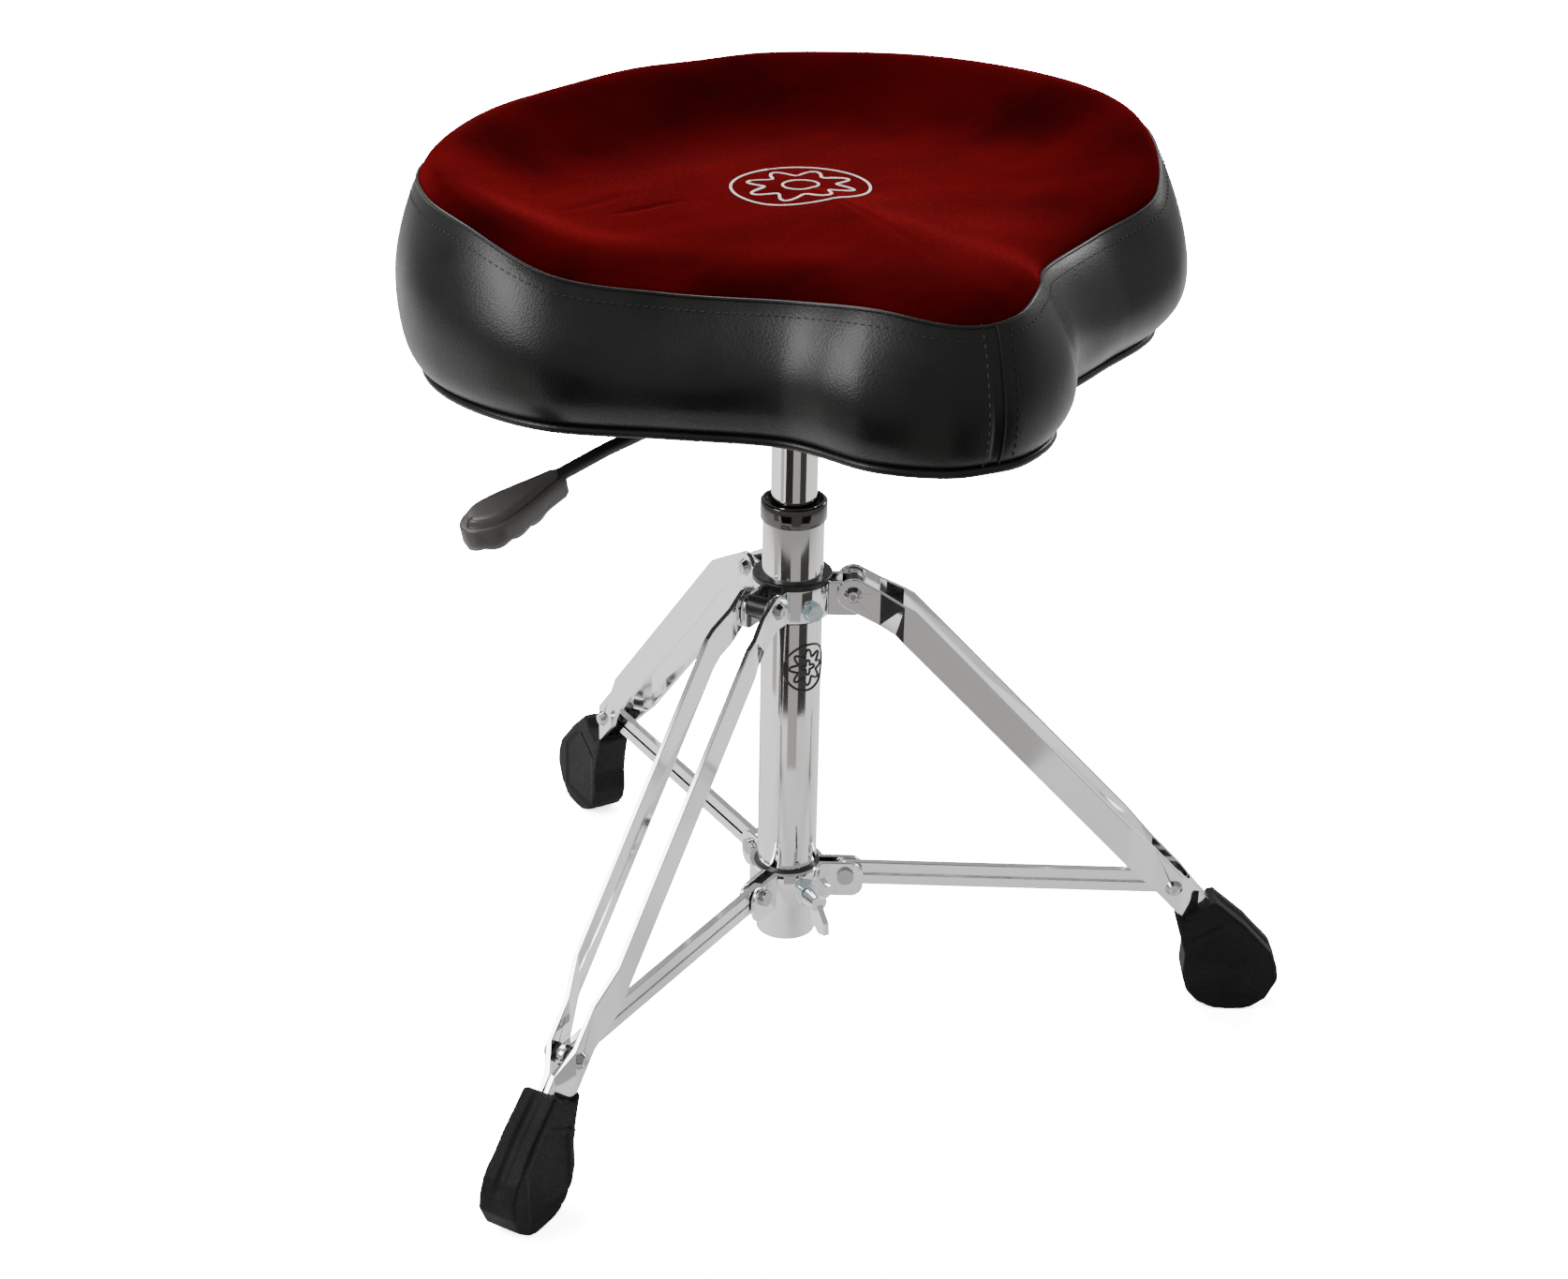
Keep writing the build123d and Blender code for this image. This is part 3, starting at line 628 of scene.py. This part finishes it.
def outward(ring, amount, height):
    """A ring moved out along its own level direction and set to a height."""
    ahead = np.roll(ring, -1, axis=0) - np.roll(ring, 1, axis=0)
    direction = np.stack([ahead[:, 1], -ahead[:, 0]], 1)
    direction /= np.linalg.norm(direction, axis=1)[:, None]
    moved = ring.copy()
    moved[:, :2] += direction * np.asarray(amount).reshape(-1, 1)
    moved[:, 2] = height
    return moved


welt_ring = closed_ring([(x, y, BASE_HEIGHT) for x, y in WELT])
seam_ring = closed_ring(SEAM)
share = np.arange(AROUND) / AROUND
from_nose = np.clip(1 - np.minimum(share, 1 - share) * 2 / 0.22, 0, 1)
low_side = outward(welt_ring, LOW_BELLY - NOSE_SLIMMER * from_nose, BASE_HEIGHT + 20)
high_level = 0.42 * BASE_HEIGHT + 0.58 * seam_ring[:, 2]
high_side = outward((welt_ring + seam_ring) / 2, HIGH_BELLY - (NOSE_SLIMMER + 1) * from_nose, high_level)
c, s = math.cos(CUSHION_TURN), math.sin(CUSHION_TURN)
turn = np.array([[c, s, 0], [-s, c, 0], [0, 0, 1]])
rings = [outward(welt_ring, -VINYL_TUCK, BASE_HEIGHT - TUCK_DROP), welt_ring, low_side, high_side, seam_ring]
rings += [closed_ring(half) for half in (CREST, DISH, HOLLOW)]
rings.append(np.repeat(MIDDLE[None], AROUND, axis=0))
rings = [ring @ turn + CUSHION_SHIFT for ring in rings]
# The real cushion is a little fuller on the right and lower at the back left, above the welt.
for ring in rings[2:7]:
    ring[:, 0] += RIGHT_FULLER * np.clip((ring[:, 0] - 60) / 130, 0, 1)
    back_left = np.clip((60 - ring[:, 0]) / 160, 0, 1) * np.clip((ring[:, 1] + 40) / 120, 0, 1)
    ring[:, 2] -= BACK_LEFT_LOWER * back_left


def soft_lumps(points, size, depth, seed):
    """Moves points up and down by a smooth random amount, as filled fabric does."""
    for row in points:
        for p in row:
            p[2] += depth * noise.noise(Vector((p[0] / size + seed, p[1] / size, p[2] / size)))


def cushion_skin(name, points, material, meets=False):
    """A skin of rows of points round the cushion; its last row can meet in one point."""
    rows, count = points.shape[:2]
    used = rows - 1 if meets else rows
    vertices = [tuple(p / 1000) for row in points[:used] for p in row]
    faces = []
    for r in range(used - 1):
        for k in range(count):
            n = (k + 1) % count
            faces.append((r * count + k, r * count + n, (r + 1) * count + n, (r + 1) * count + k))
    if meets:
        vertices.append(tuple(points[-1, 0] / 1000))
        last = (used - 1) * count
        faces += [(last + k, last + (k + 1) % count, len(vertices) - 1) for k in range(count)]
    skin = flat_piece(name, vertices, faces)
    skin.data.materials.append(material)
    skin.data.shade_smooth()
    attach(skin, "seat")
    return skin


# ======== Cushion: velour top ========
# Short-pile red velour over foam. The pile is brushed in patches, with a few short creases, and its sheen
# brightens where it is seen along the surface.
velour, tree, shader = new_material("red_velour", (0.045, 0.0012, 0.0016), 0.9)
shader.inputs["Sheen Weight"].default_value = 0.6
shader.inputs["Sheen Roughness"].default_value = 0.35
shader.inputs["Sheen Tint"].default_value = (0.50, 0.025, 0.03, 1)
shader.inputs["Specular IOR Level"].default_value = 0.0
pile = noise_of(tree, 1500, 2.0)
speckled = tree.nodes.new("ShaderNodeMath")
speckled.operation = "MULTIPLY_ADD"
speckled.inputs[1].default_value = 0.5
tree.links.new(pile, speckled.inputs[0])
tree.links.new(noise_of(tree, 11, 7.0, (1, 1.7, 1)), speckled.inputs[2])
DEEP_RED = (0.017, 0.0006, 0.0010)
BRIGHT_RED = (0.048, 0.0016, 0.0022)
tint(tree, speckled.outputs[0], shader.inputs["Base Color"], DEEP_RED, BRIGHT_RED, 0.6, 0.9)
bump(tree, shader, pile, 0.5, 0.0006)

top_points = loft(rings, TOP_ROWS, 4, 8)
top_points[0, :, 2] -= 2.2
top_points[1, :, 2] -= 0.5
inner = np.linspace(0, 1, TOP_ROWS)[:, None]
soft_lumps(top_points[3:], 60.0, 0.7, 3.0)
CREASE_MARKS = (((-118, 28), 34, 0.35), ((-96, 6), 26, 0.15), ((-132, 60), 22, 0.7), ((60, -170), 16, 1.2))
for start, reach, lean in CREASE_MARKS:
    along = np.array([math.cos(lean), math.sin(lean)])
    offset = top_points[..., :2] - np.array(start)
    lengthways = offset @ along
    sideways = offset @ np.array([-along[1], along[0]])
    fade = np.clip(1 - (lengthways / reach) ** 2, 0, 1)
    top_points[..., 2] -= 1.1 * fade * np.exp(-((sideways / 2.4) ** 2)) * (inner > 0.1)
velour_top = cushion_skin("velour_cushion", top_points, velour, meets=True)
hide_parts("velour_top", "foam_core")


# ======== Cushion: vinyl band and welt ========
# A satin black vinyl band with a fine pebbled grain. Its top edge is folded over and topstitched to the
# velour, and a piped welt closes it against the board.
vinyl, tree, shader = new_material("black_vinyl", (0.005, 0.005, 0.005), 0.33)
shader.inputs["Specular IOR Level"].default_value = 0.35
grain_place = tree.nodes.new("ShaderNodeTexCoord")
pebble = tree.nodes.new("ShaderNodeTexVoronoi")
pebble.inputs["Scale"].default_value = 700.0
pebble.inputs["Randomness"].default_value = 0.9
tree.links.new(grain_place.outputs["Object"], pebble.inputs["Vector"])
wear = noise_of(tree, 22, 4.0)
vary(tree, wear, shader.inputs["Roughness"], 0.30, 0.38)
tint(tree, wear, shader.inputs["Base Color"], (0.0035, 0.0034, 0.0033), (0.007, 0.0068, 0.0066))
bump(tree, shader, pebble.outputs["Distance"], 0.16, 0.0004)

side_points = loft(rings, SIDE_ROWS, 0, 4)
for r, row in enumerate(side_points):
    height_share = r / (SIDE_ROWS - 1)
    for k, p in enumerate(row):
        gather = noise.noise(Vector((k / 17.0, height_share * 1.2, 5.0)))
        away = p[:2] / np.linalg.norm(p[:2])
        p[:2] += away * 0.9 * gather * math.sin(math.pi * height_share) ** 2
vinyl_band = cushion_skin("vinyl_side", side_points, vinyl)
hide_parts("vinyl_band")

WELT_RADIUS = 0.0027
FOLD_RADIUS = 0.0012
welt = wire("welt", outward(rings[1], 0.6, BASE_HEIGHT - 1.8) / 1000, WELT_RADIUS, vinyl, sides=4)
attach(welt, "seat")
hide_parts("bottom_welt")
folded_edge = wire("folded_edge", (rings[4] - np.array([0, 0, 0.4])) / 1000, FOLD_RADIUS, vinyl)
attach(folded_edge, "seat")


# ======== Stitching ========
# Polyester thread. A row of geometry nodes lays one stitch after another along a line: long stitches run
# with the line, and satin stitches lie across it.
def thread_material(name, colour):
    """Twisted thread in one colour."""
    made, tree, shader = new_material(name, colour, 0.65)
    bump(tree, shader, noise_of(tree, 2500, 1.0), 0.4, 0.0003)
    return made


dark_thread = thread_material("dark_thread", (0.012, 0.012, 0.012))
# A lighter copy of the dark thread, its grey a painted highlight, for the left rows of the closing seams.
painted_highlight_thread = thread_material("painted_highlight_thread", (0.055, 0.055, 0.055))
white_thread = thread_material("white_thread", (0.80, 0.78, 0.76))

stitch_mesh = bpy.data.meshes.new("stitch")
shape = bmesh.new()
bmesh.ops.create_uvsphere(shape, u_segments=8, v_segments=6, radius=0.5)
shape.to_mesh(stitch_mesh)
shape.free()
stitch_mesh.shade_smooth()
stitch = bpy.data.objects.new("stitch", stitch_mesh)

row_tree = bpy.data.node_groups.new("stitch_row", "GeometryNodeTree")
row_tree.interface.new_socket("Geometry", in_out="INPUT", socket_type="NodeSocketGeometry")
for label in ("Spacing", "Length", "Width", "Height", "Turn"):
    row_tree.interface.new_socket(label, in_out="INPUT", socket_type="NodeSocketFloat")
row_tree.interface.new_socket("Thread", in_out="INPUT", socket_type="NodeSocketMaterial")
row_tree.interface.new_socket("Geometry", in_out="OUTPUT", socket_type="NodeSocketGeometry")
add = row_tree.nodes.new
incoming = add("NodeGroupInput")
outgoing = add("NodeGroupOutput")
line = add("GeometryNodeMeshToCurve")
spaced = add("GeometryNodeResampleCurve")
spaced.mode = "LENGTH"
repeat = add("GeometryNodeInstanceOnPoints")
source = add("GeometryNodeObjectInfo")
source.inputs["Object"].default_value = stitch
tangent = add("GeometryNodeInputTangent")
align = add("FunctionNodeAlignRotationToVector")
align.axis = "X"
size_of = add("ShaderNodeCombineXYZ")
about = add("ShaderNodeCombineXYZ")
as_turn = add("FunctionNodeEulerToRotation")
turned_by = add("FunctionNodeRotateRotation")
turned_by.rotation_space = "LOCAL"
realize = add("GeometryNodeRealizeInstances")
coat = add("GeometryNodeSetMaterial")
link = row_tree.links.new
link(incoming.outputs["Geometry"], line.inputs["Mesh"])
link(line.outputs["Curve"], spaced.inputs["Curve"])
link(incoming.outputs["Spacing"], spaced.inputs["Length"])
link(spaced.outputs["Curve"], repeat.inputs["Points"])
link(source.outputs["Geometry"], repeat.inputs["Instance"])
link(tangent.outputs["Tangent"], align.inputs["Vector"])
link(incoming.outputs["Turn"], about.inputs["Z"])
link(about.outputs[0], as_turn.inputs[0])
link(align.outputs["Rotation"], turned_by.inputs["Rotation"])
link(as_turn.outputs[0], turned_by.inputs["Rotate By"])
link(turned_by.outputs[0], repeat.inputs["Rotation"])
for label, axis in (("Length", "X"), ("Width", "Y"), ("Height", "Z")):
    link(incoming.outputs[label], size_of.inputs[axis])
link(size_of.outputs[0], repeat.inputs["Scale"])
link(repeat.outputs["Instances"], realize.inputs["Geometry"])
link(realize.outputs["Geometry"], coat.inputs["Geometry"])
link(incoming.outputs["Thread"], coat.inputs["Material"])
link(coat.outputs["Geometry"], outgoing.inputs["Geometry"])
row_sockets = {s.name: s.identifier for s in row_tree.interface.items_tree if s.in_out == "INPUT"}


def stitch_line(name, points, thread, spacing, stitch_size, closed=False, across=False):
    """A row of stitches along points, riding on the seat; every size is in millimetres."""
    count = len(points)
    edges = [(k, (k + 1) % count) for k in range(count if closed else count - 1)]
    mesh = bpy.data.meshes.new(name)
    mesh.from_pydata([tuple(np.asarray(p) / 1000) for p in points], edges, [])
    row = bpy.data.objects.new(name, mesh)
    collection.objects.link(row)
    modifier = row.modifiers.new("row", "NODES")
    modifier.node_group = row_tree
    for label, value in zip(("Spacing", "Length", "Width", "Height"), (spacing, *stitch_size)):
        modifier[row_sockets[label]] = value / 1000
    modifier[row_sockets["Turn"]] = math.pi / 2 if across else 0.0
    modifier[row_sockets["Thread"]] = thread
    row.update_tag()
    bpy.context.view_layer.update()
    made = bpy.data.meshes.new_from_object(row.evaluated_get(bpy.context.evaluated_depsgraph_get()))
    row.modifiers.clear()
    row.data = made
    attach(row, "seat")
    return row


def side_ring(up):
    """The ring of points this far up the side, from the welt (0) to the seam (1)."""
    return loft(rings, 1, 1 + 3 * up, 1 + 3 * up)[0]


TOP_STITCH = (3.0, 0.75, 0.6)
THREAD_LIFT = 0.35
below_seam = side_ring(0.92)
top_row = stitch_line("seam_stitches", outward(below_seam, THREAD_LIFT, below_seam[:, 2]), dark_thread,
                      4.4, TOP_STITCH, closed=True)


def down_the_band(middle, sideways):
    """A line down the band at the nose (0) or the back (half-way round), this far to its side."""
    line = []
    for up in np.linspace(1.0, 0.04, 30):
        ring = side_ring(up)
        at = middle * AROUND + np.arange(-30, 31)
        near = ring[at.astype(int) % AROUND]
        spread = (near - near[30]) @ turn.T
        order = np.argsort(spread[:, 0])
        picked = [np.interp(sideways, spread[order, 0], near[order, axis]) for axis in range(3)]
        away = near[30] * [1, 1, 0]
        line.append(np.array(picked) + THREAD_LIFT * away / np.linalg.norm(away))
    return line


CLOSING_SEAMS = (("nose", 0.0, 6.0), ("back", 0.5, 0.0))
SEAM_RADIUS = 0.0008
for place, middle, aside in CLOSING_SEAMS:
    seam_line = np.array(down_the_band(middle, aside)) / 1000
    closing = wire(f"{place}_seam", seam_line, SEAM_RADIUS, vinyl, closed=False)
    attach(closing, "seat")
    # The left row is sewn in the lighter copy of the thread, painted as if lit.
    for side, offset, thread in (("left", aside - 9.0, painted_highlight_thread), ("right", aside + 8.0, dark_thread)):
        row = stitch_line(f"{place}_stitches_{side}", down_the_band(middle, offset), thread, 5.0, TOP_STITCH)


# ======== Staples ========
# Flat steel staples hold the dust cover's edge, and the vinyl's edge under it, to the board. They are
# shot in one after another, all the way round, a little in from the welt.
staple_steel, tree, shader = new_material("staple_steel", (0.62, 0.62, 0.63), 0.3, 1.0)
vary(tree, noise_of(tree, 500), shader.inputs["Roughness"], 0.22, 0.4)
STAPLE = (10.0, 1.2, 0.8)
STAPLE_SPACING = 32.0
staple_line = outward(rings[1], -24.0, BASE_HEIGHT - 2.6)
staples = stitch_line("staples", staple_line, staple_steel, STAPLE_SPACING, STAPLE, closed=True)


# ======== Embroidery ========
# A plain white rosette sewn through the velour at the middle of the dish: a ring, eight petals and an
# eye. Each line is satin stitch, with short threads laid side by side across it.
ROSETTE_ROWS = ((0.0405, 1, 0.0, 1.8), (0.0320, 8, 0.17, 2.0), (0.0105, 1, 0.0, 1.7))
SATIN_SPACING = 0.7
SATIN_LIFT = 0.25
dish_surface = BVHTree.FromObject(velour_top, bpy.context.evaluated_depsgraph_get())


def on_velour(line, lift):
    """Drops a plane line (metres) onto the cushion's top."""
    dropped = []
    for x, y in line:
        hit = dish_surface.ray_cast(Vector((x, y, 0.8)), Vector((0, 0, -1)))[0]
        dropped.append((x * 1000, y * 1000, hit.z * 1000 + lift))
    return dropped


for part, (radius, petals, depth, width) in enumerate(ROSETTE_ROWS):
    satin_line = on_velour(rosette(radius, petals, depth, 480), SATIN_LIFT)
    satin = stitch_line(f"rosette_{part}", satin_line, white_thread, SATIN_SPACING, (width, 0.8, 0.7),
                        closed=True, across=True)
